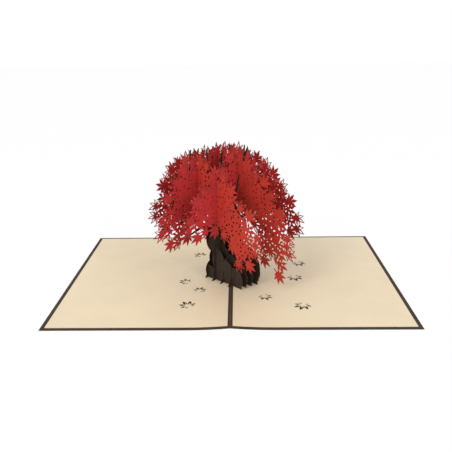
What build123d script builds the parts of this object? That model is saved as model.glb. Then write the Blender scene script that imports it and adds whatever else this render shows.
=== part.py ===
from build123d import *

import os
from math import atan2, cos, hypot, radians, sin, sqrt

import numpy as np

# A pop-up card that opens flat: a folded cover, two liners and a maple tree of slotted paper.
# X runs across the card, Y along its spine and away from the reader, Z up from the table.
# The papers of the tree stand at 45 degrees to the spine. "Left" papers have their near end
# on the left and are placed by their distance to the right of the card's centre. "Right"
# papers have their near end on the right and are placed by their distance behind the centre.

# Card
panel_width = 148.0
card_height = 210.0
cover_thickness = 0.35
liner_thickness = 0.30
liner_margin = 3.5
gutter_half_width = 2.0
spine_rise = 1.5
spine_run = 34.0

# Paper of the tree
sheet_thickness = 0.35
slot_clearance = 0.10
seat_gap = 0.08
overrun = 5.0
crumb = 0.02

# Rows of papers: the place of the first one and the step to the next, across their own plane
left_slat_first = 19.8
left_slat_pitch = 10.4
left_slat_count = 4
right_slat_first = -18.7
right_slat_pitch = 6.3
right_slat_count = 7
left_crown_first = 6.0
left_crown_pitch = 24.0
right_crown_first = -22.0
right_crown_pitch = 25.0
crown_count = 3

# Trunk and roots
root_half_width = 25.0
trunk_height = 50.0
left_root_centre = -2.0
right_root_centre = 8.25
root_seat = 7.0
fork_seat = 60.0
bulge_share = 0.10
tab_width = 4.4

# Crown
crown_reach = 80.0
tree_height = 130.0
crown_heart = 66.0
leaf_radius = 10.0
leaf_pitch = 9.5
rim_inset = 8.4
core_inset = 13.0
hole_area = 1.3
bough_width = 6.0
leader_width = 2.6
twig_width = 1.4
leaf_jitter = 1.1
leaf_twist_share = 0.25

# Leaf cut-outs in the liners and the cover
fallen_leaf_radius = 10.0
motif_leaf_radius = 5.4
motif_stem_width = 2.2

slot_width = sheet_thickness + 2 * slot_clearance
slot_half = slot_width / 2
liner_base = cover_thickness
liner_top = cover_thickness + liner_thickness
liner_length = card_height - 2 * liner_margin
curl_radius = (spine_run**2 + spine_rise**2) / (2 * spine_rise)

# Offsets of the papers from the card's centre, across their own plane
left_slats = {f"trunk_left_{i + 1}": left_slat_first - i * left_slat_pitch for i in range(left_slat_count)}
bough_slat = {"bough_left": left_slat_first - left_slat_count * left_slat_pitch}
right_slats = {
    f"trunk_right_{i + 1}": right_slat_first + i * right_slat_pitch for i in range(right_slat_count)
}
left_crowns = {f"crown_left_{i + 1}": left_crown_first - i * left_crown_pitch for i in range(crown_count)}
right_crowns = {
    f"crown_right_{i + 1}": right_crown_first + i * right_crown_pitch for i in range(crown_count)
}
tall_slats = ("trunk_left_3", "trunk_left_4", "trunk_right_3", "trunk_right_5")

# Outlines of the trunk slats, from the near toe over the top to the far toe:
# shares of the root's half width, from its centre, and of the trunk's height
slat_outline_shares = {
    "trunk_left_1": ((-0.90, 0), (-0.80, 0.08), (-0.71, 0.18), (-0.50, 0.33), (-0.16, 0.40),
                     (0.24, 0.42), (0.50, 0.34), (0.68, 0.20), (0.64, 0.06), (0.70, 0)),
    "trunk_left_2": ((-0.88, 0), (-0.78, 0.08), (-0.68, 0.13), (-0.67, 0.29), (-0.62, 0.46),
                     (-0.24, 0.53), (0.16, 0.54), (0.52, 0.44), (0.80, 0.22), (0.78, 0.06), (0.86, 0)),
    "trunk_left_3": ((-0.88, 0), (-0.78, 0.08), (-0.74, 0.24), (-0.73, 0.47), (-0.81, 0.61),
                     (-1.00, 0.75), (-0.88, 0.94), (-0.08, 1.00), (0.32, 0.94), (0.20, 0.72),
                     (0.44, 0.52), (0.80, 0.36), (0.86, 0.16), (0.80, 0.06), (0.81, 0)),
    "trunk_left_4": ((-0.82, 0), (-0.74, 0.08), (-0.76, 0.24), (-0.58, 0.34), (-0.52, 0.52),
                     (-0.72, 0.76), (-0.72, 0.94), (-0.04, 1.00), (0.28, 0.92), (0.16, 0.68),
                     (0.40, 0.48), (0.72, 0.32), (0.80, 0.14), (0.76, 0.06), (0.84, 0)),
    "trunk_right_1": ((-0.91, 0), (-0.86, 0.07), (-0.82, 0.26), (-0.47, 0.23), (-0.43, 0.62),
                      (-0.19, 0.63), (0.09, 0.48), (0.49, 0.38), (0.86, 0.35), (1.00, 0.20),
                      (0.92, 0.06), (0.94, 0)),
    "trunk_right_2": ((-0.91, 0), (-0.86, 0.08), (-0.88, 0.24), (-0.86, 0.35), (-0.86, 0.52),
                      (-0.93, 0.72), (-0.97, 0.88), (-0.57, 0.94), (-0.21, 0.86), (-0.15, 0.66),
                      (0.11, 0.54), (0.47, 0.46), (0.79, 0.38), (1.01, 0.23), (0.92, 0.06), (0.93, 0)),
    "trunk_right_3": ((-0.91, 0), (-0.86, 0.08), (-0.88, 0.24), (-0.87, 0.40), (-0.91, 0.60),
                      (-1.09, 0.84), (-1.05, 1.12), (-0.89, 1.32), (-0.25, 1.32), (-0.13, 1.00),
                      (-0.09, 0.76), (0.23, 0.62), (0.71, 0.50), (1.03, 0.28), (0.95, 0.06), (0.95, 0)),
    "trunk_right_4": ((-0.91, 0), (-0.86, 0.08), (-0.89, 0.28), (-0.87, 0.44), (-0.89, 0.66),
                      (-1.01, 0.90), (-0.49, 1.00), (-0.13, 0.92), (-0.01, 0.76), (0.35, 0.66),
                      (0.77, 0.57), (1.06, 0.38), (1.09, 0.24), (0.99, 0.06), (1.01, 0)),
    "trunk_right_5": ((-0.91, 0), (-0.86, 0.08), (-0.89, 0.26), (-0.87, 0.44), (-0.89, 0.68),
                      (-1.01, 0.96), (-0.93, 1.32), (-0.17, 1.32), (-0.09, 0.96), (-0.01, 0.72),
                      (0.35, 0.56), (0.70, 0.44), (0.90, 0.24), (0.82, 0.06), (0.80, 0)),
    "trunk_right_6": ((-0.91, 0), (-0.85, 0.08), (-0.87, 0.26), (-0.65, 0.42), (-0.41, 0.54),
                      (-0.09, 0.58), (0.20, 0.54), (0.46, 0.42), (0.66, 0.22), (0.60, 0.06), (0.60, 0)),
    "trunk_right_7": ((-0.85, 0), (-0.81, 0.08), (-0.77, 0.24), (-0.41, 0.34), (-0.10, 0.36),
                      (0.16, 0.28), (0.34, 0.18), (0.36, 0.06), (0.40, 0)),
}

# Boughs that reach out of a slat and carry the crown, then its upright leaders and twigs:
# each is a line of shares of the crown's reach and of the tree's height
bough_line_shares = {
    "trunk_left_3": (((-0.16, 0.32), (-0.28, 0.38), (-0.44, 0.43), (-0.60, 0.40)),
                     ((-0.10, 0.33), (0.06, 0.37), (0.22, 0.42), (0.40, 0.46), (0.58, 0.43))),
    "trunk_left_4": (((-0.12, 0.32), (-0.28, 0.40), (-0.46, 0.47), (-0.62, 0.47)),
                     ((-0.10, 0.33), (0.06, 0.38), (0.22, 0.45), (0.38, 0.50), (0.56, 0.50))),
    "bough_left": (((0.00, 0.52), (-0.14, 0.47), (-0.28, 0.42), (-0.42, 0.39), (-0.60, 0.335)),
                   ((-0.08, 0.50), (0.08, 0.53), (0.24, 0.52), (0.38, 0.48), (0.54, 0.44))),
    "trunk_right_3": (((-0.14, 0.47), (-0.26, 0.52), (-0.42, 0.57), (-0.58, 0.56)),
                      ((-0.06, 0.46), (0.08, 0.50), (0.22, 0.50), (0.32, 0.47))),
    "trunk_right_5": (((-0.14, 0.47), (-0.26, 0.51), (-0.42, 0.54), (-0.60, 0.50)),
                      ((-0.04, 0.46), (0.08, 0.50), (0.24, 0.50), (0.44, 0.42), (0.61, 0.37))),
}
leader_line_shares = {
    "trunk_left_3": (((-0.16, 0.34), (-0.15, 0.60), (-0.12, 0.84)),
                     ((-0.05, 0.35), (-0.03, 0.62), (0.01, 0.95))),
    "trunk_left_4": (((-0.15, 0.34), (-0.18, 0.62), (-0.21, 0.925)),
                     ((-0.04, 0.35), (-0.02, 0.62), (0.015, 0.90))),
    "bough_left": (((-0.42, 0.39), (-0.48, 0.54), (-0.63, 0.66)),
                   ((-0.36, 0.40), (-0.38, 0.66), (-0.33, 0.925)),
                   ((-0.45, 0.45), (-0.50, 0.64), (-0.56, 0.77)),
                   ((-0.03, 0.50), (-0.04, 0.70), (-0.01, 0.86)),
                   ((0.22, 0.52), (0.24, 0.70), (0.27, 0.84))),
    "trunk_right_3": (((-0.09, 0.49), (-0.09, 0.68), (-0.08, 0.86)),
                      ((0.13, 0.50), (0.16, 0.64), (0.22, 0.78)),
                      ((-0.38, 0.56), (-0.38, 0.68), (-0.42, 0.78))),
    "trunk_right_5": (((0.12, 0.50), (0.12, 0.72), (0.145, 0.955)),
                      ((0.13, 0.86), (0.16, 0.90), (0.195, 0.94)),
                      ((-0.05, 0.49), (-0.05, 0.70), (-0.04, 0.86)),
                      ((-0.36, 0.53), (-0.38, 0.66), (-0.42, 0.76))),
}

# Crown outlines: share of the crown's reach, then shares of the tree's height of the
# highest and the lowest leaf tips there
crown_profile_shares = {
    "crown_left_1": ((-0.73, 0.51, 0.42), (-0.63, 0.65, 0.35), (-0.53, 0.72, 0.34), (-0.43, 0.75, 0.34),
                     (-0.28, 0.83, 0.36), (-0.13, 0.89, 0.46), (0.04, 0.97, 0.48), (0.19, 0.92, 0.46),
                     (0.35, 0.85, 0.43), (0.50, 0.79, 0.38), (0.63, 0.72, 0.32), (0.75, 0.62, 0.31),
                     (0.83, 0.51, 0.38)),
    "crown_left_2": ((-0.86, 0.50, 0.36), (-0.78, 0.60, 0.32), (-0.70, 0.68, 0.27), (-0.56, 0.80, 0.24),
                     (-0.41, 0.89, 0.30), (-0.28, 0.90, 0.42), (-0.13, 0.92, 0.46), (0.04, 0.95, 0.48),
                     (0.19, 0.93, 0.48), (0.35, 0.89, 0.45), (0.50, 0.82, 0.38), (0.65, 0.72, 0.32),
                     (0.78, 0.62, 0.28), (0.88, 0.48, 0.36)),
    "crown_left_3": ((-0.70, 0.56, 0.46), (-0.62, 0.64, 0.37), (-0.52, 0.73, 0.32), (-0.43, 0.82, 0.31),
                     (-0.28, 0.86, 0.37), (-0.13, 0.88, 0.42), (0.04, 0.90, 0.43), (0.19, 0.88, 0.42),
                     (0.35, 0.82, 0.37), (0.50, 0.73, 0.32), (0.63, 0.62, 0.32), (0.73, 0.50, 0.38)),
    "crown_right_1": ((-0.85, 0.66, 0.54), (-0.75, 0.78, 0.48), (-0.65, 0.83, 0.45), (-0.53, 0.86, 0.42),
                      (-0.38, 0.90, 0.40), (-0.23, 0.91, 0.38), (-0.08, 0.88, 0.37), (0.08, 0.83, 0.33),
                      (0.18, 0.83, 0.31), (0.28, 0.77, 0.28), (0.34, 0.69, 0.17), (0.42, 0.65, 0.14),
                      (0.52, 0.62, 0.17), (0.60, 0.57, 0.22), (0.66, 0.48, 0.27), (0.70, 0.40, 0.32)),
    "crown_right_2": ((-0.88, 0.58, 0.49), (-0.78, 0.68, 0.38), (-0.63, 0.77, 0.35), (-0.45, 0.86, 0.38),
                      (-0.28, 0.91, 0.43), (-0.13, 0.94, 0.46), (0.08, 0.95, 0.46), (0.23, 0.88, 0.42),
                      (0.35, 0.82, 0.36), (0.41, 0.80, 0.22), (0.48, 0.78, 0.11), (0.57, 0.72, 0.21),
                      (0.66, 0.66, 0.09), (0.74, 0.56, 0.035), (0.80, 0.48, 0.22), (0.86, 0.38, 0.28)),
    "crown_right_3": ((-0.80, 0.54, 0.45), (-0.68, 0.65, 0.36), (-0.53, 0.75, 0.34), (-0.38, 0.83, 0.37),
                      (-0.23, 0.88, 0.42), (-0.08, 0.885, 0.43), (0.08, 0.88, 0.43), (0.23, 0.85, 0.40),
                      (0.35, 0.78, 0.36), (0.44, 0.74, 0.34), (0.55, 0.66, 0.31), (0.64, 0.59, 0.31),
                      (0.73, 0.48, 0.36)),
}

# Tabs that hold slats to the card: their place as a share of the root's half width
tab_shares = {
    "trunk_left_1": 0.466, "trunk_left_4": -0.542, "trunk_right_1": -0.578, "trunk_right_7": -0.162,
}

# A maple leaf: the turn of each lobe in degrees and its share of the leaf's radius
lobe_shares = ((-118, 0.46), (-78, 0.74), (-38, 0.92), (0, 1.0), (38, 0.92), (78, 0.74), (118, 0.46))
# One lobe's edge and its slit: shares of the lobe's length, along it and to one side
lobe_edge_shares = ((0.56, 0.165),)
slit_edge_shares = ((0.30, 0.0), (0.56, 0.085), (0.86, 0.0))
valley_share = 0.27
stalk_share = 0.62
stalk_width_share = 0.10
rosette_share = 0.62
rosette_lobe_shares = ((-118, 0.8), (-48, 1.0), (20, 1.0), (90, 0.9))
# A fallen leaf's lobe is cut as a horseshoe: its edge and the edge of the tongue left inside
fallen_edge_shares = ((0.32, 0.10), (0.55, 0.17), (0.80, 0.11))
tongue_edge_shares = ((0.58, 0.07), (0.78, 0.09))
fallen_tongue_share = 0.58

# Fallen leaves cut in the liners: shares of the panel's width, from the spine, and of the
# card's height, from its middle, then the turn in degrees and the share of the leaf's size
fallen_leaf_shares = {
    "liner_left": ((0.21, 0.23, 115, 0.95), (0.27, -0.08, 150, 0.90), (0.19, -0.17, 70, 0.85),
                   (0.235, -0.31, 125, 1.05)),
    "liner_right": ((0.195, -0.22, -70, 0.90), (0.41, -0.30, -110, 1.05), (0.395, -0.025, -80, 1.05),
                    (0.44, 0.135, -65, 0.95)),
}
# The maple twig cut in the front cover: same shares for its leaves and the line of its stem
motif_leaf_shares = ((0.44, 0.30, -60, 1.0), (0.57, 0.335, -20, 1.0), (0.46, 0.235, -150, 0.9),
                     (0.55, 0.205, 60, 1.0), (0.68, 0.255, 20, 0.95), (0.42, 0.145, 170, 1.1),
                     (0.57, 0.115, 110, 1.0), (0.28, 0.165, 120, 0.8), (0.70, 0.13, 60, 0.95),
                     (0.46, 0.04, 190, 1.05), (0.61, 0.01, 140, 1.1), (0.73, -0.02, 90, 0.9),
                     (0.40, -0.075, 200, 0.85), (0.66, -0.095, 165, 1.0), (0.50, -0.16, 215, 1.0),
                     (0.75, -0.36, 95, 1.1))
motif_stem_shares = ((0.26, 0.385), (0.34, 0.355), (0.42, 0.372), (0.55, 0.352))


def rise_at(distance):
    """Height that the curl gives a panel at a distance from the spine."""
    reach = max(spine_run - abs(distance), 0)
    return curl_radius - sqrt(curl_radius**2 - reach**2)


def left_plane(offset):
    """Plane of a left paper: its first axis runs away and to the right."""
    return Plane(origin=(offset / sqrt(2), -offset / sqrt(2), 0), x_dir=(1, 1, 0), z_dir=(1, -1, 0))


def right_plane(offset):
    """Plane of a right paper: its first axis runs nearer and to the right."""
    return Plane(origin=(offset / sqrt(2), offset / sqrt(2), 0), x_dir=(1, -1, 0), z_dir=(-1, -1, 0))


def height_on(line, along):
    """Height of a line of points at a place along it."""
    points = sorted(line)
    return float(np.interp(along, [p[0] for p in points], [p[1] for p in points]))


def crown_line(shares):
    """A line given in crown shares, in millimetres."""
    return [(u * crown_reach, z * tree_height) for u, z in shares]


def profile_at(name, along):
    """Highest and lowest leaf tips of a crown at a place along it."""
    table = crown_profile_shares[name]
    places = [row[0] * crown_reach for row in table]
    top = np.interp(along, places, [row[1] * tree_height for row in table])
    low = np.interp(along, places, [row[2] * tree_height for row in table])
    return float(top), float(low)


def bough_height(name, along):
    """Height of a slat's boughs where another paper crosses it."""
    lines = [crown_line(line) for line in bough_line_shares[name]]
    side = lines[0] if along < min(p[0] for p in lines[1]) else lines[1]
    return height_on(side, along)


def turned(points, centre, angle, size):
    """Points of a unit shape, scaled, turned by an angle in radians and moved to a centre."""
    c, s = cos(angle) * size, sin(angle) * size
    return [(centre[0] + c * x - s * y, centre[1] + s * x + c * y) for x, y in points]


def lobe_points(turn, length, edge):
    """Right edge, tip and left edge of one lobe of a unit leaf."""
    right = [(r, -side) for r, side in edge]
    left = [(r, side) for r, side in reversed(edge)]
    return turned(right + [(1, 0)] + left, (0, 0), radians(turn), length)


def leaf_points():
    """Outline of a unit maple leaf with its stalk; its middle lobe points along +X."""
    points = []
    for (turn, length), (next_turn, _) in zip(lobe_shares, lobe_shares[1:] + lobe_shares[:1]):
        points += lobe_points(turn, length, lobe_edge_shares)
        if next_turn > turn:
            valley = radians((turn + next_turn) / 2)
            points.append((valley_share * cos(valley), valley_share * sin(valley)))
    half = stalk_width_share / 2
    points += [(-valley_share, half), (-stalk_share, half)]
    points += [(-stalk_share, -half), (-valley_share, -half)]
    return points


def slit_points(turn, length, reach):
    """A kite-shaped slit along one lobe of a unit leaf, up to a share of the leaf's reach."""
    base, middle, tip = [(r * reach, side) for r, side in slit_edge_shares]
    kite = [base, (middle[0], -middle[1]), tip, middle]
    return turned(kite, (0, 0), radians(turn), length)


def ribbon(line, near_width, far_width):
    """Outline of a strip of paper along a line, from one width to another."""
    line = np.array(line, dtype=float)
    steps = np.diff(line, axis=0)
    lengths = np.hypot(steps[:, 0], steps[:, 1])
    way = steps / lengths[:, None]
    ahead = np.vstack([way[:1], (way[:-1] + way[1:]) / 2, way[-1:]])
    ahead = ahead / np.hypot(ahead[:, 0], ahead[:, 1])[:, None]
    done = np.concatenate([[0], np.cumsum(lengths)]) / lengths.sum()
    half = (near_width + (far_width - near_width) * done)[:, None] / 2
    side = np.column_stack([-ahead[:, 1], ahead[:, 0]]) * half
    return [tuple(p) for p in np.vstack([line - side, (line + side)[::-1]])]


def slot(along, low, high):
    """Outline of an upright slot for a crossing paper."""
    left, right = along - slot_half, along + slot_half
    return [(left, low), (right, low), (right, high), (left, high)]


def inside(points, polygon):
    """Which of many points lie inside a polygon."""
    x, y = points[:, 0], points[:, 1]
    found = np.zeros(len(points), dtype=bool)
    for (ax, ay), (bx, by) in zip(polygon, np.roll(polygon, -1, axis=0)):
        spans = (ay > y) != (by > y)
        if ay != by:
            found ^= spans & (x < ax + (y - ay) * (bx - ax) / (by - ay))
    return found


def signed_area(points):
    """Area of a loop of points, positive where it runs anticlockwise."""
    x, y = np.array(points).T
    return float(np.dot(x, np.roll(y, -1)) - np.dot(np.roll(x, -1), y)) / 2


def cut_sheet(patches, windows):
    """Outline and holes of overlapping patches of paper with windows cut through them."""
    shapes = [np.array(p if signed_area(p) > 0 else p[::-1]) for p in patches + windows]
    starts = np.vstack(shapes)
    ends = np.vstack([np.roll(s, -1, axis=0) for s in shapes])
    owner = np.concatenate([np.full(len(s), i) for i, s in enumerate(shapes)])
    lows, highs = np.minimum(starts, ends), np.maximum(starts, ends)
    ways = ends - starts

    # Every edge is broken where it crosses an edge of another shape
    breaks = [[(0.0, tuple(a)), (1.0, tuple(b))] for a, b in zip(starts, ends)]
    for i in range(len(starts)):
        near = np.flatnonzero(
            (owner[i + 1 :] != owner[i])
            & np.all(lows[i + 1 :] <= highs[i], axis=1)
            & np.all(highs[i + 1 :] >= lows[i], axis=1)
        )
        near = near + i + 1
        gap = starts[near] - starts[i]
        cross = ways[i, 0] * ways[near, 1] - ways[i, 1] * ways[near, 0]
        cross[cross == 0] = np.inf
        here = (gap[:, 0] * ways[near, 1] - gap[:, 1] * ways[near, 0]) / cross
        there = (gap[:, 0] * ways[i, 1] - gap[:, 1] * ways[i, 0]) / cross
        for j, t, s in zip(near, here, there):
            if 0 < t < 1 and 0 < s < 1:
                point = tuple(starts[i] + t * ways[i])
                breaks[i].append((t, point))
                breaks[j].append((s, point))

    # The pieces of edges that bound the paper are kept, with the paper on their left
    pieces, holders = [], []
    for i, marks in enumerate(breaks):
        marks = [point for _, point in sorted(marks)]
        pieces += [(a, b) for a, b in zip(marks, marks[1:]) if a != b]
        holders += [owner[i]] * (len(pieces) - len(holders))
    holders = np.array(holders)
    middles = np.array([((a[0] + b[0]) / 2, (a[1] + b[1]) / 2) for a, b in pieces])
    in_paper = np.zeros(len(pieces), dtype=bool)
    in_window = np.zeros(len(pieces), dtype=bool)
    for i, shape in enumerate(shapes):
        low, high = shape.min(axis=0), shape.max(axis=0)
        close = np.flatnonzero(np.all((middles > low) & (middles < high), axis=1) & (holders != i))
        hit = close[inside(middles[close], shape)]
        if i < len(patches):
            in_paper[hit] = True
        else:
            in_window[hit] = True
    of_patch = holders < len(patches)
    follow = {}
    for (a, b), patch, paper, window in zip(pieces, of_patch, in_paper, in_window):
        if patch and not paper and not window:
            follow.setdefault(a, []).append(b)
        if not patch and paper and not window:
            follow.setdefault(b, []).append(a)

    # The kept pieces are joined into loops
    loops = []
    while follow:
        start = next(iter(follow))
        loop = [start]
        here = start
        while here in follow:
            there = follow[here].pop()
            if not follow[here]:
                del follow[here]
            here = there
            if here == start:
                break
            loop.append(here)
        if here == start and len(loop) > 2:
            loops.append(tidy_loop(loop))
    loops = [loop for loop in loops if len(loop) > 2]
    outline = max(loops, key=signed_area)
    rim = np.array(outline)
    holes = [loop for loop in loops if signed_area(loop) < -hole_area]
    holes = [hole for hole in holes if inside(np.array(hole[:1]), rim)[0]]
    return outline, holes


def tidy_loop(loop):
    """A loop without the points that lie almost on their neighbour."""
    kept = [loop[0]]
    for point in loop[1:]:
        if hypot(point[0] - kept[-1][0], point[1] - kept[-1][1]) > crumb:
            kept.append(point)
    if hypot(kept[0][0] - kept[-1][0], kept[0][1] - kept[-1][1]) <= crumb:
        kept.pop()
    return kept


def crown_leaves(name):
    """Leaves of a crown: centre, heading, rows from its rim and a running number."""
    places = [row[0] * crown_reach for row in crown_profile_shares[name]]
    first, last = places[0] + rim_inset / 2, places[-1] - rim_inset / 2
    columns = max(round((last - first) / leaf_pitch), 1)
    leaves = []
    for i in range(columns + 1):
        along = first + (last - first) * i / columns
        top, low = profile_at(name, along)
        high, deep = top - rim_inset, low + rim_inset
        rows = max(round((high - deep) / leaf_pitch), 0)
        for k in range(rows + 1):
            share = k / rows if rows else 1 / 2
            wobble = sin(2.4 * i + 1.7 * k)
            u = along + wobble * leaf_jitter
            z = deep + (high - deep) * share + cos(3.1 * i + 2.3 * k) * leaf_jitter
            heading = atan2(z - crown_heart, u) + wobble * leaf_twist_share
            leaves.append(((u, z), heading, min(k, rows - k, i, columns - i), i + 2 * k))
    return leaves


def crown_core(name):
    """Outline of the closed middle of a crown, tapered to both ends."""
    places = [row[0] * crown_reach for row in crown_profile_shares[name]]
    first, last = places[0] + core_inset, places[-1] - core_inset
    stations = [first] + [p for p in places if first < p < last] + [last]
    upper, lower = [], []
    for along in stations:
        top, low = profile_at(name, along)
        half = max((top - low) / 2 - core_inset, twig_width)
        if along in (first, last):
            half = twig_width
        upper.append((along, (top + low) / 2 + half))
        lower.append((along, (top + low) / 2 - half))
    return lower + upper[::-1]


def crown_sheet(name, slots):
    """Outline and holes of one crown: its leaves, its middle and the cuts through them."""
    leaf = leaf_points()
    patches = [crown_core(name)]
    windows = [slot(*place) for place in slots]
    for centre, heading, depth, number in crown_leaves(name):
        if depth < 2:
            patches.append(turned(leaf, centre, heading, leaf_radius))
        outlined = depth == 0 and number % 2 == 0
        if outlined or depth > 0:
            reach = 1 if outlined else rosette_share
            for turn, length in lobe_shares[1:-1] if outlined else rosette_lobe_shares:
                kite = slit_points(turn, length, reach)
                windows.append(turned(kite, centre, heading, leaf_radius))
    return cut_sheet(patches, windows)


def crossing_slots():
    """Slots of every tree paper: places along it with the heights between which it is cut.

    Of two papers that cross, the first is open above the height where they meet and the
    second is open below it, so that the tree goes together in this order: the low right
    slats, the left slats, the tall right slats, the left bough, then the crowns.
    """
    slots = {}
    top, low = tree_height + overrun, -overrun

    def join(first, first_along, second, second_along, seat):
        slots.setdefault(first, []).append((first_along, seat, top))
        slots.setdefault(second, []).append((second_along, low, seat))

    for left, p in left_slats.items():
        for right, q in right_slats.items():
            if right not in tall_slats:
                join(right, p, left, q, root_seat)
            elif left in tall_slats:
                join(left, q, right, p, fork_seat)
            else:
                join(left, q, right, p, root_seat)
    tall_right = {name: q for name, q in right_slats.items() if name in tall_slats}
    tall_left = {name: p for name, p in left_slats.items() if name in tall_slats}
    for right, q in tall_right.items():
        for left, p in bough_slat.items():
            join(right, p, left, q, (bough_height(right, p) + bough_height(left, q)) / 2)
        for crown, p in left_crowns.items():
            join(right, p, crown, q, bough_height(right, p))
    for crown, q in right_crowns.items():
        for left, p in {**tall_left, **bough_slat}.items():
            join(left, q, crown, p, bough_height(left, q))
        for left, p in left_crowns.items():
            left_top, left_low = profile_at(left, q)
            right_top, right_low = profile_at(crown, p)
            seat = (min(left_top, right_top) + max(left_low, right_low)) / 2
            join(left, q, crown, p, seat)
    return slots


def finish(part, label):
    """Give a piece its label and write it."""
    part.label = label
    export_step(part, f"parts/{label}.step", write_pcurves=False)


def curl_line(lift, first, far):
    """Top line of a panel, raised by a lift, from its edge at the spine to its far edge."""
    side = 1 if far > 0 else -1
    TangentArc((side * spine_run, lift), (first, lift + rise_at(first)), tangent=(-side, 0))
    Line((side * spine_run, lift), (far, lift))


def bed(lift):
    """Everything below a panel's line raised by a lift, to cut what stands on it."""
    with BuildPart() as below:
        with BuildSketch(Plane.XZ.offset(-card_height / 2)):
            with BuildLine():
                curl_line(lift, 0, -panel_width)
                curl_line(lift, 0, panel_width)
                Polyline(
                    (-panel_width, lift),
                    (-panel_width, -overrun),
                    (panel_width, -overrun),
                    (panel_width, lift),
                )
            make_face()
        extrude(amount=card_height)
    return below.part


def shape(points, mode=Mode.ADD):
    """A face with straight sides in the sketch at work."""
    Polygon(*points, align=None, mode=mode)


def liner(side, label):
    """One panel's liner, with its fallen leaves and the slits for the tree's tabs."""
    near, far = side * gutter_half_width, side * (panel_width - liner_margin)
    with BuildPart() as sheet:
        with BuildSketch(Plane.XZ.offset(-liner_length / 2)):
            with BuildLine():
                curl_line(liner_base, near, far)
                curl_line(liner_top, near, far)
                Line((near, liner_base + rise_at(near)), (near, liner_top + rise_at(near)))
                Line((far, liner_base), (far, liner_top))
            make_face()
        extrude(amount=liner_length)
        with BuildSketch(Plane.XY.offset(-overrun)):
            for across, up, turn, size in fallen_leaf_shares[label]:
                centre = (side * across * panel_width, up * card_height)
                for lobe_turn, length in lobe_shares:
                    lobe = lobe_points(lobe_turn, length, fallen_edge_shares)
                    tongue = lobe_points(lobe_turn, length * fallen_tongue_share, tongue_edge_shares)
                    outline = lobe + tongue[::-1]
                    shape(turned(outline, centre, radians(turn), size * fallen_leaf_radius))
            for name, share in tab_shares.items():
                x, y, angle = tab_place(name, share)
                if x * side > 0:
                    with Locations(Location((x, y, 0), (0, 0, angle))):
                        Rectangle(tab_width + 2 * slot_clearance, slot_width)
        extrude(amount=2 * overrun, mode=Mode.SUBTRACT)
    finish(sheet.part, label)


def tab_place(name, share):
    """Where a slat's tab meets the card: its place and the slat's direction in degrees."""
    if name in left_slats:
        centre = left_plane(left_slats[name]).from_local_coords((along_root(name, share), 0))
        return centre.X, centre.Y, 45
    centre = right_plane(right_slats[name]).from_local_coords((along_root(name, share), 0))
    return centre.X, centre.Y, -45


def along_root(name, share):
    """Place along a slat that a share of the root's half width stands for."""
    middle = left_root_centre if name in left_slats else right_root_centre
    return middle + share * root_half_width


def tab(name, plane):
    """The tab that holds a slat, from its root down through the liner to the cover."""
    along = along_root(name, tab_shares[name])
    left, right = along - tab_width / 2, along + tab_width / 2
    with BuildPart() as tongue:
        with BuildSketch(plane.offset(-sheet_thickness / 2)):
            shape([(left, -overrun), (right, -overrun), (right, root_seat), (left, root_seat)])
        extrude(amount=sheet_thickness)
        add(cover_bed, mode=Mode.SUBTRACT)
    return tongue.part


def slat(name, plane):
    """One paper of the trunk with its boughs, leaders and twigs."""
    tongue = tab(name, plane) if name in tab_shares else None
    with BuildPart() as paper:
        with BuildSketch(plane.offset(-sheet_thickness / 2)):
            if name in slat_outline_shares:
                knots = [(along_root(name, u), z * trunk_height) for u, z in slat_outline_shares[name]]
                with BuildLine():
                    for a, b in zip(knots, knots[1:]):
                        SagittaArc(a, b, bulge_share * hypot(b[0] - a[0], b[1] - a[1]))
                    Line(knots[-1], knots[0])
                make_face()
            for line in bough_line_shares.get(name, ()):
                shape(ribbon(crown_line(line), bough_width, twig_width))
            for line in leader_line_shares.get(name, ()):
                shape(ribbon(crown_line(line), leader_width, twig_width))
            for place in slots_of[name]:
                shape(slot(*place), mode=Mode.SUBTRACT)
        extrude(amount=sheet_thickness)
        add(liner_bed, mode=Mode.SUBTRACT)
        if tongue:
            add(tongue)
    finish(paper.part, name)


def crown(name, plane):
    """One paper of the crown."""
    outline, holes = crown_sheet(name, slots_of[name])
    with BuildPart() as paper:
        with BuildSketch(plane.offset(-sheet_thickness / 2)):
            face = Face(Wire.make_polygon(outline), [Wire.make_polygon(hole) for hole in holes])
            add(face, clean=False)
        extrude(amount=sheet_thickness, clean=False)
    finish(paper.part, name)


os.makedirs("parts", exist_ok=True)
slots_of = crossing_slots()

# Cover: one folded sheet whose panels lie flat and curl up to the spine, cut with a maple twig
with BuildPart() as cover:
    with BuildSketch(Plane.XZ.offset(-card_height / 2)):
        with BuildLine():
            for side in (-1, 1):
                curl_line(0, 0, side * panel_width)
                curl_line(cover_thickness, 0, side * panel_width)
                Line((side * panel_width, 0), (side * panel_width, cover_thickness))
        make_face()
    extrude(amount=card_height)
    with BuildSketch(Plane.XY.offset(-overrun)):
        for across, up, turn, size in motif_leaf_shares:
            centre = (-across * panel_width, up * card_height)
            shape(turned(leaf_points(), centre, radians(turn), size * motif_leaf_radius))
        stem = [(-across * panel_width, up * card_height) for across, up in motif_stem_shares]
        shape(ribbon(stem, motif_stem_width, motif_stem_width))
    extrude(amount=2 * overrun, mode=Mode.SUBTRACT)
finish(cover.part, "cover")

# Liners: the pale inner papers of the two panels
liner(-1, "liner_left")
liner(1, "liner_right")

# Tree
cover_bed = bed(cover_thickness + seat_gap)
liner_bed = bed(liner_top + seat_gap)
for name, offset in {**left_slats, **bough_slat}.items():
    slat(name, left_plane(offset))
for name, offset in right_slats.items():
    slat(name, right_plane(offset))
for name, offset in left_crowns.items():
    crown(name, left_plane(offset))
for name, offset in right_crowns.items():
    crown(name, right_plane(offset))
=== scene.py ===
"""A pop-up card that opens flat and raises a maple tree of slotted paper, ready to render."""

from math import cos, sin

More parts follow.
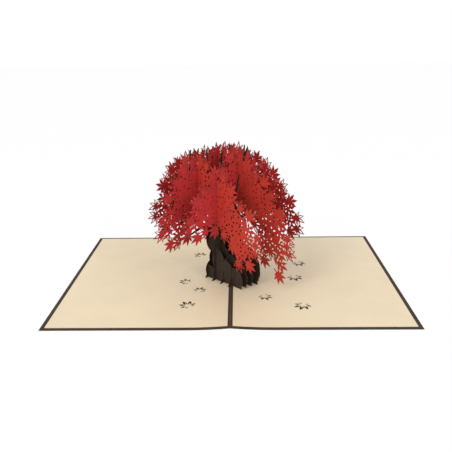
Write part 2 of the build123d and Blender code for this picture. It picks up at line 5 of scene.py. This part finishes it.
import bpy
from bpy.props import FloatProperty, FloatVectorProperty, IntProperty, PointerProperty
from mathutils import Matrix, Vector


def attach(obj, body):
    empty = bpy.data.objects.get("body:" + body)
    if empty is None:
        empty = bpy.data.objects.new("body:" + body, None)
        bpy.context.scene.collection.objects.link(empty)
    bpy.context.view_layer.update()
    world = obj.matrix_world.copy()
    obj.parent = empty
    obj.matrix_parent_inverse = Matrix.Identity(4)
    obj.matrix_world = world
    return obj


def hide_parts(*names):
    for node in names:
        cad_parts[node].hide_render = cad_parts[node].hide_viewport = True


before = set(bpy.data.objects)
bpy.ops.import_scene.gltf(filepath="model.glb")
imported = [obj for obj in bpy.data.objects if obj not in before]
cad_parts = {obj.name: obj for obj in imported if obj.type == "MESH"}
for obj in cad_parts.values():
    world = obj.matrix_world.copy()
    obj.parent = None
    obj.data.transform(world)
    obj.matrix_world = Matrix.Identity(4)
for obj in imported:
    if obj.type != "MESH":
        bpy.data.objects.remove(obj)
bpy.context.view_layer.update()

bl_info = {
    "name": "Maple Pop-up Card",
    "version": (1, 0, 0),
    "blender": (4, 5, 0),
    "location": "View3D > Sidebar > Card",
    "description": "Papers, slits, light and camera of a pop-up card with a maple tree",
    "category": "Object",
}


def nodes_named(*starts):
    """The frame's nodes whose names begin with one of the given words, in order."""
    return [name for name in sorted(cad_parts) if name.startswith(starts)]


LEFT_PAPERS = nodes_named("crown_left")
RIGHT_PAPERS = nodes_named("crown_right")
BARK_PAPERS = nodes_named("trunk", "bough")
LINERS = nodes_named("liner")

# Directions that the papers face: the tree's stand at 45 degrees to the spine
HALF_ROOT = 2 ** -0.5
LEFT_NORMAL = Vector((HALF_ROOT, -HALF_ROOT, 0))
RIGHT_NORMAL = Vector((-HALF_ROOT, -HALF_ROOT, 0))
UP = Vector((0, 0, 1))

# Sizes in the papers' looks, in metres
CLOUD_SIZE = 0.03
LEAF_CELL = 0.0062
LEAF_SHINE_SIZE = 0.004
STREAK_SIZE = 0.0035
LINER_SHINE_SIZE = 0.012
BOARD_CLOUD_SIZE = 0.02
FINE_BUMP = 0.00003
BARK_BUMP = 0.00005
LINER_BUMP = 0.00002
BOARD_BUMP = 0.00006
# Where the painted shade along the liners' spine starts to fade and where it ends, measured from
# the spine
SPINE_SHADE_START, SPINE_SHADE_END = 0.002, 0.016
RUBBED_WIDTH = 0.0012

# A slit's outline: shares of its half length and half width
SLIT_OUTLINE = (
    (-1, 0), (-0.55, -0.75), (0, -1), (0.55, -0.75), (1, 0), (0.55, 0.75), (0, 1), (-0.55, 0.75),
)
# Points nearer than this are joined before the cut, in metres
WELD_DISTANCE = 0.000004
# Points tried for each square metre, before the spacing thins them
TRIES_PER_AREA = 400000.0
# How squarely a face looks along the paper's normal to be its front, and how far off it a
# face's turn may be to count as a cut edge
FRONT_TURN = 0.9
EDGE_TURN = 0.5
# Joined points are about a sixth of the plain ones, so fewer means that a cut failed
JOINED_SHARE = 1 / 6

# Stage, in metres
SENSOR_WIDTH_MM = 36
NEAREST_SEEN = 0.01
FLOOR_REACH = 4.0
FLOOR_DROP = 0.0001
LAMP_SIZE = 1.4
LAMP_TARGET = (0, 0, 0.05)
KEY_PLACE, KEY_COLOUR = (-1.6, -2.0, 1.9), (1.0, 0.95, 0.88)
FILL_PLACE, FILL_COLOUR = (1.7, -1.9, 1.5), (0.90, 0.95, 1.0)
WHITE = (1, 1, 1, 1)
FLOOR_WHITE = (0.94, 0.94, 0.94, 1)


def srgb(red, green, blue):
    """A colour given in screen values, as the linear one that the shaders take."""
    levels = [value / 255 for value in (red, green, blue)]
    return tuple(v / 12.92 if v <= 0.04045 else ((v + 0.055) / 1.055) ** 2.4 for v in levels)


def colour_property(name, description, default):
    """A colour that a user can change."""
    return FloatVectorProperty(
        name=name, description=description, subtype="COLOR", size=3, min=0, max=1, default=default
    )


def length_property(name, description, default):
    """A length in metres that a user can change."""
    return FloatProperty(
        name=name, description=description, default=default, min=0, unit="LENGTH", precision=5
    )


def stage_length(name, description, default):
    """A place's coordinate in metres that a user can change."""
    return FloatProperty(name=name, description=description, default=default, unit="LENGTH")


def stage_angle(name, description, default):
    """An angle in radians that a user can change."""
    return FloatProperty(name=name, description=description, default=default, unit="ROTATION")


def stage_power(name, description, default):
    """A lamp's power in watts that a user can change."""
    return FloatProperty(name=name, description=description, default=default, min=0, unit="POWER")


class CardPaperSettings(bpy.types.PropertyGroup):
    """Colours and finish of the card's papers."""

    cover: colour_property("Cover", "Dark board of the cover", srgb(64, 50, 40))
    liner: colour_property("Liner", "Cream pearl paper of the liners", srgb(236, 218, 184))
    bark: colour_property("Bark", "Brown paper of the trunk", srgb(45, 32, 22))
    # Painted light: the left and right crowns are one red paper. The first of these two reds paints
    # it as lit by the cool lamp, on the left crowns. The second paints it as lit by the warm lamp,
    # on the right crowns.
    red_painted_cool_light: colour_property("Crimson", "Leaf paper of the left crowns", srgb(190, 40, 42))
    red_painted_warm_light: colour_property("Scarlet", "Leaf paper of the right crowns", srgb(188, 46, 30))
    deep: colour_property("Deep red", "Leaf paper of the rearmost crowns", srgb(170, 30, 27))
    burnt: colour_property("Cut edge", "Edge of paper browned by the cutter", srgb(70, 26, 18))
    fibre: length_property("Fibre", "Width of the fibres in the papers", 0.0006)
    grain: length_property("Grain", "Size of the grain pressed into the board", 0.0011)


class CardSlitSettings(bpy.types.PropertyGroup):
    """Sizes of the small slits that the cutter left all over the crown's papers."""

    length: length_property("Length", "Length of a slit", 0.0016)
    width: length_property("Width", "Width of a slit at its middle", 0.0010)
    spacing: length_property("Spacing", "Least distance between the middles of two slits", 0.0019)
    rim: length_property("Rim", "Paper left between a slit and any other edge", 0.0002)
    depth: length_property("Depth", "Depth of a slit's cut, which is more than the paper's", 0.0010)
    seed: IntProperty(name="Seed", description="Start of the random draws", default=7)


class CardStageSettings(bpy.types.PropertyGroup):
    """Camera, light and floor around the card."""

    lens: FloatProperty(name="Lens", description="Focal length in mm", default=45.0, unit="CAMERA")
    camera_x: stage_length("Camera X", "Across the card", 0.00712)
    camera_y: stage_length("Camera Y", "In front", -0.48966)
    camera_z: stage_length("Camera Z", "Above the table", 0.21406)
    pitch: stage_angle("Pitch", "Look down", 0.3252)
    yaw: stage_angle("Yaw", "Look left or right", -0.0233)
    roll: stage_angle("Roll", "Tilt of the picture", 0.0151)
    sky: FloatProperty(name="Sky", description="Strength of the even light", default=0.80, min=0)
    key: stage_power("Key", "Power of the warm lamp", 32.0)
    fill: stage_power("Fill", "Power of the cool lamp", 16.0)
    floor_glow: FloatProperty(
        name="Floor glow", description="Share of the floor's own white", default=0.94, min=0, max=1
    )


class NodeBench:
    """Lays shader nodes on a material and joins them."""

    def __init__(self, name):
        self.material = bpy.data.materials.new(name)
        self.material.use_nodes = True
        self.tree = self.material.node_tree
        self.shader = self.tree.nodes["Principled BSDF"]
        self.place = self.add("ShaderNodeTexCoord")

    def add(self, kind, **values):
        """A new node with its plain values set."""
        node = self.tree.nodes.new(kind)
        for key, value in values.items():
            setattr(node, key, value)
        return node

    def join(self, start, end):
        """A link from an output to an input."""
        self.tree.links.new(start, end)

    def feed(self, socket, value):
        """Gives an input a link or a plain value."""
        if isinstance(value, bpy.types.NodeSocket):
            self.join(value, socket)
        else:
            socket.default_value = value

    def math(self, operation, first, second=0.0):
        """The result of a sum on one or two values."""
        node = self.add("ShaderNodeMath", operation=operation)
        self.feed(node.inputs[0], first)
        self.feed(node.inputs[1], second)
        return node.outputs[0]

    def noise(self, size, detail=3.0, stretch=(1, 1, 1), roughness=0.5):
        """Noise whose lumps have a real size in metres."""
        mapping = self.add("ShaderNodeMapping")
        mapping.inputs["Scale"].default_value = stretch
        self.join(self.place.outputs["Object"], mapping.inputs["Vector"])
        node = self.add("ShaderNodeTexNoise")
        self.join(mapping.outputs["Vector"], node.inputs["Vector"])
        node.inputs["Scale"].default_value = 1 / size
        node.inputs["Detail"].default_value = detail
        node.inputs["Roughness"].default_value = roughness
        return node.outputs["Fac"]

    def between(self, value, low, high, out_low=0.0, out_high=1.0):
        """A value carried from one range to another and held inside it."""
        node = self.add("ShaderNodeMapRange")
        self.join(value, node.inputs["Value"])
        ends = {"From Min": low, "From Max": high, "To Min": out_low, "To Max": out_high}
        for key, number in ends.items():
            node.inputs[key].default_value = number
        return node.outputs["Result"]

    def mix(self, share, first, second):
        """Two colours mixed by a share."""
        node = self.add("ShaderNodeMix", data_type="RGBA")
        self.feed(node.inputs["Factor"], share)
        # The node's inputs and outputs for colours are reached by their index
        for key, value in ((6, first), (7, second)):
            if isinstance(value, bpy.types.NodeSocket):
                self.join(value, node.inputs[key])
            else:
                node.inputs[key].default_value = (*value, 1)
        return node.outputs[2]

    def facing(self, normal):
        """1 on faces that look along a direction or against it, 0 on the cut edges between."""
        node = self.add("ShaderNodeVectorMath", operation="DOT_PRODUCT")
        self.join(self.place.outputs["Normal"], node.inputs[0])
        node.inputs[1].default_value = normal
        return self.between(self.math("ABSOLUTE", node.outputs["Value"]), 0.5, 0.8)

    def bump(self, height, depth):
        """A bump of a real depth in metres on the shader."""
        node = self.add("ShaderNodeBump")
        self.join(height, node.inputs["Height"])
        node.inputs["Distance"].default_value = depth
        node.inputs["Strength"].default_value = 1.0
        self.join(node.outputs["Normal"], self.shader.inputs["Normal"])

    def finish(self, colour, roughness, sheen=0.0, coat=0.0, specular=0.3):
        """Colour and finish on the shader."""
        self.join(colour, self.shader.inputs["Base Color"])
        self.feed(self.shader.inputs["Roughness"], roughness)
        self.shader.inputs["Sheen Weight"].default_value = sheen
        self.shader.inputs["Coat Weight"].default_value = coat
        self.shader.inputs["Coat Roughness"].default_value = 0.45
        self.shader.inputs["Specular IOR Level"].default_value = specular
        return self.material


def shade(colour, factor):
    """A colour made lighter or darker."""
    return tuple(min(channel * factor, 1) for channel in colour)


def paper_surface(bench, colour, fibre, depth=FINE_BUMP, clouds=0.05):
    """Fibres, soft clouds and a fine bump that every paper here has; returns its colour."""
    cloud = bench.between(bench.noise(CLOUD_SIZE, 2.0), 0.35, 0.65)
    threads = bench.noise(fibre, 4.0, (1, 1, 2.4), 0.6)
    toned = bench.mix(cloud, shade(colour, 1 - clouds), shade(colour, 1 + clouds))
    toned = bench.mix(bench.between(threads, 0.42, 0.72, 0.0, 0.35), toned, shade(colour, 0.78))
    bench.bump(threads, depth)
    return toned


def leaf_paper(name, colour, normal, burnt, fibre):
    """Red paper of a crown: fibres, leaf-sized changes of tone and browned cut edges."""
    bench = NodeBench(name)
    toned = paper_surface(bench, colour, fibre)
    cells = bench.add("ShaderNodeTexVoronoi", feature="F1")
    bench.join(bench.place.outputs["Object"], cells.inputs["Vector"])
    cells.inputs["Scale"].default_value = 1 / LEAF_CELL
    split = bench.add("ShaderNodeSeparateColor")
    bench.join(cells.outputs["Color"], split.inputs["Color"])
    change = bench.between(split.outputs["Red"], 0.0, 1.0, 0.0, 0.5)
    toned = bench.mix(change, toned, shade(colour, 0.72))
    toned = bench.mix(bench.facing(normal), burnt, toned)
    rough = bench.between(bench.noise(LEAF_SHINE_SIZE), 0.3, 0.7, 0.62, 0.82)
    return bench.finish(toned, rough, sheen=0.08)


def bark_paper(settings):
    """Dark brown paper of the trunk, with upright streaks and paler cut edges."""
    bench = NodeBench("bark_paper")
    toned = paper_surface(bench, settings.bark, settings.fibre, BARK_BUMP)
    streaks = bench.between(bench.noise(STREAK_SIZE, 4.0, (1, 1, 0.18)), 0.45, 0.75)
    toned = bench.mix(streaks, toned, shade(settings.bark, 1.5))
    side = bench.math("MAXIMUM", bench.facing(LEFT_NORMAL), bench.facing(RIGHT_NORMAL))
    toned = bench.mix(side, shade(settings.bark, 2.6), toned)
    return bench.finish(toned, bench.between(streaks, 0, 1, 0.75, 0.6), sheen=0.05)


def liner_paper(settings):
    """Cream pearl paper: a soft lustre, painted shade that darkens it a little towards the spine,
    and a little darker at the cut edges.
    """
    bench = NodeBench("liner_paper")
    toned = paper_surface(bench, settings.liner, settings.fibre, LINER_BUMP, 0.02)
    parts = bench.add("ShaderNodeSeparateXYZ")
    bench.join(bench.place.outputs["Object"], parts.inputs[0])
    from_spine = bench.math("ABSOLUTE", parts.outputs["X"])
    # Painted shade: the cream darkens towards the spine
    spine_shade = bench.between(from_spine, SPINE_SHADE_START, SPINE_SHADE_END, 0.35, 0.0)
    toned = bench.mix(spine_shade, toned, shade(settings.liner, 0.8))
    toned = bench.mix(bench.facing(UP), shade(settings.liner, 0.7), toned)
    rough = bench.between(bench.noise(LINER_SHINE_SIZE), 0.3, 0.7, 0.42, 0.55)
    return bench.finish(toned, rough, sheen=0.1, coat=0.12, specular=0.4)


def cover_board(settings):
    """Dark brown board with a pressed grain, paler where it is rubbed at the spine and where it is
    cut.
    """
    bench = NodeBench("cover_board")
    cloud = bench.between(bench.noise(BOARD_CLOUD_SIZE, 3.0), 0.3, 0.7)
    grain = bench.noise(settings.grain, 3.0, roughness=0.6)
    toned = bench.mix(cloud, shade(settings.cover, 0.85), shade(settings.cover, 1.15))
    parts = bench.add("ShaderNodeSeparateXYZ")
    bench.join(bench.place.outputs["Object"], parts.inputs[0])
    from_spine = bench.math("ABSOLUTE", parts.outputs["X"])
    at_fold = bench.between(from_spine, 0.0, RUBBED_WIDTH, 1, 0)
    rubbed = bench.math("MULTIPLY", at_fold, bench.between(grain, 0.4, 0.7))
    toned = bench.mix(rubbed, toned, shade(settings.cover, 2.0))
    toned = bench.mix(bench.facing(UP), shade(settings.cover, 1.5), toned)
    bench.bump(grain, BOARD_BUMP)
    return bench.finish(toned, bench.between(grain, 0.3, 0.7, 0.6, 0.85), specular=0.25)


def dress(node, material):
    """Gives a carried-over piece its finish."""
    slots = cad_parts[node].data.materials
    slots.clear()
    slots.append(material)


def add_mesh(name, points, faces, material=None):
    """A mesh object with its place in its mesh."""
    mesh = bpy.data.meshes.new(name)
    mesh.from_pydata(points, [], faces)
    mesh.update()
    piece = bpy.data.objects.new(name, mesh)
    bpy.context.scene.collection.objects.link(piece)
    if material:
        mesh.materials.append(material)
    return piece


def slit_pattern(length, width, depth):
    """The body of one slit to cut away: a pointed oval along +X, pushed through the paper."""
    rim = [(x * length / 2, y * width / 2) for x, y in SLIT_OUTLINE]
    count = len(rim)
    points = [(x, y, depth / 2) for x, y in rim] + [(x, y, -depth / 2) for x, y in rim]
    faces = [tuple(range(count)), tuple(reversed(range(count, 2 * count)))]
    for i in range(count):
        j = (i + 1) % count
        faces.append((i, i + count, j + count, j))
    pattern = add_mesh("slit_pattern", points, faces)
    bpy.context.scene.collection.objects.unlink(pattern)
    return pattern


def slit_tree(name, pattern, material):
    """Nodes that cut slits through a paper, each one pointing away from the edge nearest to it."""
    tree = bpy.data.node_groups.new(name, "GeometryNodeTree")
    face = tree.interface
    face.new_socket("Geometry", in_out="INPUT", socket_type="NodeSocketGeometry")
    for label, kind in (
        ("Spacing", "Float"), ("Clear", "Float"), ("Seed", "Int"), ("Normal", "Vector"),
    ):
        face.new_socket(label, in_out="INPUT", socket_type=f"NodeSocket{kind}")
    face.new_socket("Geometry", in_out="OUTPUT", socket_type="NodeSocketGeometry")
    nodes, links = tree.nodes, tree.links

    def add(kind, inputs=(), **values):
        """A new node with its plain values set and the given inputs fed."""
        node = nodes.new(kind)
        for key, value in values.items():
            setattr(node, key, value)
        for key, value in dict(inputs).items():
            if isinstance(value, bpy.types.NodeSocket):
                links.new(value, node.inputs[key])
            else:
                node.inputs[key].default_value = value
        return node

    source = add("NodeGroupInput").outputs
    welded = add(
        "GeometryNodeMergeByDistance", {"Geometry": source["Geometry"], "Distance": WELD_DISTANCE}
    )
    sheet = welded.outputs["Geometry"]

    # The paper's front takes the slits, and its cut edges keep them at a distance
    turn = add(
        "ShaderNodeVectorMath",
        {0: add("GeometryNodeInputNormal").outputs["Normal"], 1: source["Normal"]},
        operation="DOT_PRODUCT",
    ).outputs["Value"]
    front = add("FunctionNodeCompare", {0: turn, 1: FRONT_TURN}, operation="GREATER_THAN")
    side = add("FunctionNodeCompare", {0: turn, 1: 0.0, "Epsilon": EDGE_TURN}, operation="EQUAL")
    walls = add(
        "GeometryNodeSeparateGeometry",
        {"Geometry": sheet, "Selection": side.outputs["Result"]},
        domain="FACE",
    )
    spread = add(
        "GeometryNodeDistributePointsOnFaces",
        {
            "Mesh": sheet, "Selection": front.outputs["Result"], "Distance Min": source["Spacing"],
            "Density Max": TRIES_PER_AREA, "Seed": source["Seed"],
        },
        distribute_method="POISSON",
    )
    near = add("GeometryNodeProximity", {0: walls.outputs["Selection"]}, target_element="FACES")
    tight = add(
        "FunctionNodeCompare",
        {0: near.outputs["Distance"], 1: source["Clear"]},
        operation="LESS_THAN",
    )
    kept = add(
        "GeometryNodeDeleteGeometry",
        {"Geometry": spread.outputs["Points"], "Selection": tight.outputs["Result"]},
        domain="POINT",
    )

    # Each slit lies in the paper and points away from the nearest edge
    place = add("GeometryNodeInputPosition").outputs["Position"]
    away = add(
        "ShaderNodeVectorMath", {0: place, 1: near.outputs["Position"]}, operation="SUBTRACT"
    )
    upright = add(
        "FunctionNodeAlignRotationToVector", {"Vector": spread.outputs["Normal"]}, axis="Z"
    )
    turned = add(
        "FunctionNodeAlignRotationToVector",
        {"Rotation": upright.outputs[0], "Vector": away.outputs[0]},
        axis="X", pivot_axis="Z",
    )
    shape = add("GeometryNodeObjectInfo", {"Object": pattern})
    cutters = add(
        "GeometryNodeInstanceOnPoints",
        {
            "Points": kept.outputs[0], "Instance": shape.outputs["Geometry"],
            "Rotation": turned.outputs[0],
        },
    )
    solid = add("GeometryNodeRealizeInstances", {0: cutters.outputs[0]})
    cut = add(
        "GeometryNodeMeshBoolean", {0: sheet, 1: solid.outputs[0]},
        operation="DIFFERENCE", solver="MANIFOLD",
    )
    real = add("GeometryNodeRealizeInstances", {0: cut.outputs[0]})
    painted = add("GeometryNodeSetMaterial", {"Geometry": real.outputs[0], "Material": material})
    links.new(painted.outputs[0], add("NodeGroupOutput").inputs[0])
    return tree


def cut_slits(node, pattern, material, normal, settings, seed):
    """A crown's paper with its slits, in the place of the plain one."""
    name = node.replace("crown", "leaves")
    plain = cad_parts[node].data
    paper = bpy.data.objects.new(name, plain.copy())
    bpy.context.scene.collection.objects.link(paper)
    modifier = paper.modifiers.new("Slits", "NODES")
    modifier.node_group = slit_tree(f"{name}_nodes", pattern, material)
    values = {
        "Spacing": settings.spacing,
        "Clear": settings.length / 2 + settings.rim,
        "Seed": seed,
        "Normal": tuple(normal),
    }
    for item in modifier.node_group.interface.items_tree:
        if item.in_out == "INPUT" and item.name in values:
            modifier[item.identifier] = values[item.name]
    bpy.context.view_layer.update()
    evaluated = paper.evaluated_get(bpy.context.evaluated_depsgraph_get())
    mesh = bpy.data.meshes.new_from_object(evaluated)
    paper.modifiers.clear()
    paper.data = mesh
    mesh.name = name
    if len(mesh.vertices) <= len(plain.vertices) * JOINED_SHARE:
        raise RuntimeError(f"{name} came out empty")
    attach(paper, "root")
    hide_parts(node)
    return paper


class CARD_OT_cover(bpy.types.Operator):
    """Dress the dark cover board"""

    bl_idname = "card.cover"
    bl_label = "Cover"

    def execute(self, context):
        dress("cover", cover_board(context.scene.card_papers))
        return {"FINISHED"}


class CARD_OT_liners(bpy.types.Operator):
    """Dress the cream liners with their fallen leaves"""

    bl_idname = "card.liners"
    bl_label = "Liners"

    def execute(self, context):
        material = liner_paper(context.scene.card_papers)
        for node in LINERS:
            dress(node, material)
        return {"FINISHED"}


class CARD_OT_trunk(bpy.types.Operator):
    """Dress the slotted papers of the trunk and its boughs"""

    bl_idname = "card.trunk"
    bl_label = "Trunk"

    def execute(self, context):
        material = bark_paper(context.scene.card_papers)
        for node in BARK_PAPERS:
            dress(node, material)
        return {"FINISHED"}


class CARD_OT_crown(bpy.types.Operator):
    """Cut the small slits in the red papers of the crown and dress them"""

    bl_idname = "card.crown"
    bl_label = "Crown"

    def execute(self, context):
        papers, slits = context.scene.card_papers, context.scene.card_slits
        pattern = slit_pattern(slits.length, slits.width, slits.depth)
        # Each side's red holds painted cool or warm light for the way its papers face
        for names, colour, normal, slot in (
            (LEFT_PAPERS, papers.red_painted_cool_light, LEFT_NORMAL, "leaf_paper_crimson"),
            (RIGHT_PAPERS, papers.red_painted_warm_light, RIGHT_NORMAL, "leaf_paper_scarlet"),
        ):
            for i, node in enumerate(names):
                tint = papers.deep if i == len(names) - 1 else colour
                material = leaf_paper(f"{node}_paper", tint, normal, papers.burnt, papers.fibre)
                cut_slits(node, pattern, material, normal, slits, slits.seed + i)
        bpy.data.objects.remove(pattern)
        return {"FINISHED"}


def lamp(name, place, power, colour):
    """A soft square lamp that points at the card."""
    light = bpy.data.lights.new(name, "AREA")
    light.size = LAMP_SIZE
    light.energy = power
    light.color = colour
    piece = bpy.data.objects.new(name, light)
    piece.location = place
    aim = Vector(LAMP_TARGET) - Vector(place)
    piece.rotation_euler = aim.to_track_quat("-Z", "Y").to_euler()
    bpy.context.scene.collection.objects.link(piece)


def floor_paint(glow):
    """White floor: it glows to the eye and in reflections, and still takes the card's shadow."""
    bench = NodeBench("floor_paint")
    shader = bench.shader
    shader.inputs["Base Color"].default_value = FLOOR_WHITE
    shader.inputs["Roughness"].default_value = 0.9
    shader.inputs["Specular IOR Level"].default_value = 0
    rays = bench.add("ShaderNodeLightPath").outputs
    seen = bench.math("MAXIMUM", rays["Is Camera Ray"], rays["Is Glossy Ray"])
    seen = bench.math("MAXIMUM", seen, rays["Is Transmission Ray"])
    white = bench.add("ShaderNodeEmission")
    white.inputs["Strength"].default_value = 1
    both = bench.add("ShaderNodeMixShader")
    bench.join(bench.math("MULTIPLY", seen, glow), both.inputs[0])
    bench.join(shader.outputs[0], both.inputs[1])
    bench.join(white.outputs[0], both.inputs[2])
    bench.join(both.outputs[0], bench.tree.nodes["Material Output"].inputs["Surface"])
    return bench.material


def photo_camera(settings):
    """The camera at the photograph's viewing angle."""
    ahead = Vector((
        sin(settings.yaw) * cos(settings.pitch),
        cos(settings.yaw) * cos(settings.pitch),
        -sin(settings.pitch),
    ))
    right = ahead.cross(UP).normalized()
    down = ahead.cross(right)
    tilted_right = cos(settings.roll) * right + sin(settings.roll) * down
    tilted_up = sin(settings.roll) * right - cos(settings.roll) * down
    turn = Matrix((tilted_right, tilted_up, -ahead)).transposed().to_4x4()
    view = bpy.data.cameras.new("photo_camera")
    view.lens = settings.lens
    view.sensor_width = SENSOR_WIDTH_MM
    view.clip_start = NEAREST_SEEN
    eye = bpy.data.objects.new("photo_camera", view)
    place = Vector((settings.camera_x, settings.camera_y, settings.camera_z))
    eye.matrix_world = Matrix.Translation(place) @ turn
    bpy.context.scene.collection.objects.link(eye)
    bpy.context.scene.camera = eye


def room_light(strength):
    """Even light all round, which the eye sees as plain white."""
    world = bpy.data.worlds.new("soft_room")
    world.use_nodes = True
    tree = world.node_tree
    even = tree.nodes["Background"]
    even.inputs["Color"].default_value = WHITE
    even.inputs["Strength"].default_value = strength
    white = tree.nodes.new("ShaderNodeBackground")
    white.inputs["Color"].default_value = WHITE
    white.inputs["Strength"].default_value = 1
    rays = tree.nodes.new("ShaderNodeLightPath")
    seen = tree.nodes.new("ShaderNodeMath")
    seen.operation = "MAXIMUM"
    tree.links.new(rays.outputs["Is Camera Ray"], seen.inputs[0])
    tree.links.new(rays.outputs["Is Transmission Ray"], seen.inputs[1])
    both = tree.nodes.new("ShaderNodeMixShader")
    tree.links.new(seen.outputs[0], both.inputs[0])
    tree.links.new(even.outputs[0], both.inputs[1])
    tree.links.new(white.outputs[0], both.inputs[2])
    tree.links.new(both.outputs[0], tree.nodes["World Output"].inputs[0])
    return world


class CARD_OT_stage(bpy.types.Operator):
    """Add the floor, the soft lamps and the camera"""

    bl_idname = "card.stage"
    bl_label = "Stage"

    def execute(self, context):
        settings = context.scene.card_stage
        context.scene.view_settings.view_transform = "Standard"
        context.scene.world = room_light(settings.sky)

        reach = FLOOR_REACH
        corners = [(-reach, -reach, 0), (reach, -reach, 0), (reach, reach, 0), (-reach, reach, 0)]
        floor = add_mesh("floor", corners, [(0, 1, 2, 3)], floor_paint(settings.floor_glow))
        floor.data.transform(Matrix.Translation((0, 0, -FLOOR_DROP)))

        lamp("key_lamp", KEY_PLACE, settings.key, KEY_COLOUR)
        lamp("fill_lamp", FILL_PLACE, settings.fill, FILL_COLOUR)
        photo_camera(settings)
        return {"FINISHED"}


class CARD_PT_panel(bpy.types.Panel):
    """The card's pieces and stage"""

    bl_idname = "CARD_PT_panel"
    bl_label = "Maple Pop-up Card"
    bl_space_type = "VIEW_3D"
    bl_region_type = "UI"
    bl_category = "Card"

    def draw(self, context):
        for operator in OPERATORS:
            self.layout.operator(operator.bl_idname)


OPERATORS = (CARD_OT_cover, CARD_OT_liners, CARD_OT_trunk, CARD_OT_crown, CARD_OT_stage)
GROUPS = {
    "card_papers": CardPaperSettings,
    "card_slits": CardSlitSettings,
    "card_stage": CardStageSettings,
}


def register():
    for group in GROUPS.values():
        bpy.utils.register_class(group)
    for name, group in GROUPS.items():
        setattr(bpy.types.Scene, name, PointerProperty(type=group))
    for operator in OPERATORS:
        bpy.utils.register_class(operator)
    bpy.utils.register_class(CARD_PT_panel)


def unregister():
    bpy.utils.unregister_class(CARD_PT_panel)
    for operator in reversed(OPERATORS):
        bpy.utils.unregister_class(operator)
    for name in GROUPS:
        delattr(bpy.types.Scene, name)
    for group in reversed(list(GROUPS.values())):
        bpy.utils.unregister_class(group)


def main():
    register()
    bpy.ops.card.cover()
    bpy.ops.card.liners()
    bpy.ops.card.trunk()
    bpy.ops.card.crown()
    bpy.ops.card.stage()


if __name__ == "__main__":
    main()
